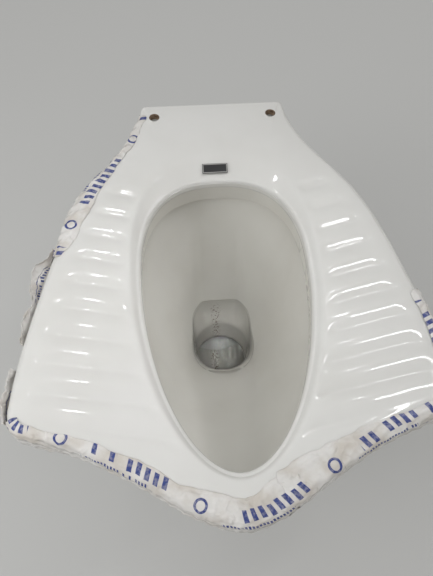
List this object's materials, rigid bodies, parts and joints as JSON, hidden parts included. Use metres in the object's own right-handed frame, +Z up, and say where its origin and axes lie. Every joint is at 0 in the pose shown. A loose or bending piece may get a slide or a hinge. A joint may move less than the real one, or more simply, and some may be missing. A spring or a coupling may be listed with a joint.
{
  "type": "anglo-indian toilet",
  "caption": "Glazed china squat-or-sit toilet pan with a winged ribbed rim, egg-shaped bowl, level rear outlet and packing film on its edge.",
  "frame": {"origin": "on the floor, under the middle of the whole toilet", "axes": "+Z up, +Y towards the back deck and the outlet, +X to the right as seen from the nose looking at the deck"},
  "size_m": [0.4668, 0.5326, 0.3966],
  "materials": {
    "china": "gloss",
    "china_inside": "gloss",
    "label_foil": "gloss",
    "packing_film": "satin"
  },
  "bodies": {
    "root": {"rim_plate": "china", "rim_channel": "china_inside", "bowl": "china_inside", "trap_sump": "china_inside", "trap_bend": "china_inside", "trap_riser": "china", "outlet_spigot": "china", "inlet_horn": "china", "flush_spreader": "china", "pedestal": "china", "foot_ring": "china", "wing_web_back_left": "china", "wing_web_front_left": "china", "wing_web_back_right": "china", "wing_web_front_right": "china", "maker_label": "label_foil", "wrap_left": "packing_film", "wrap_front": "packing_film", "wrap_right": "packing_film"}
  },
  "joints": []
}
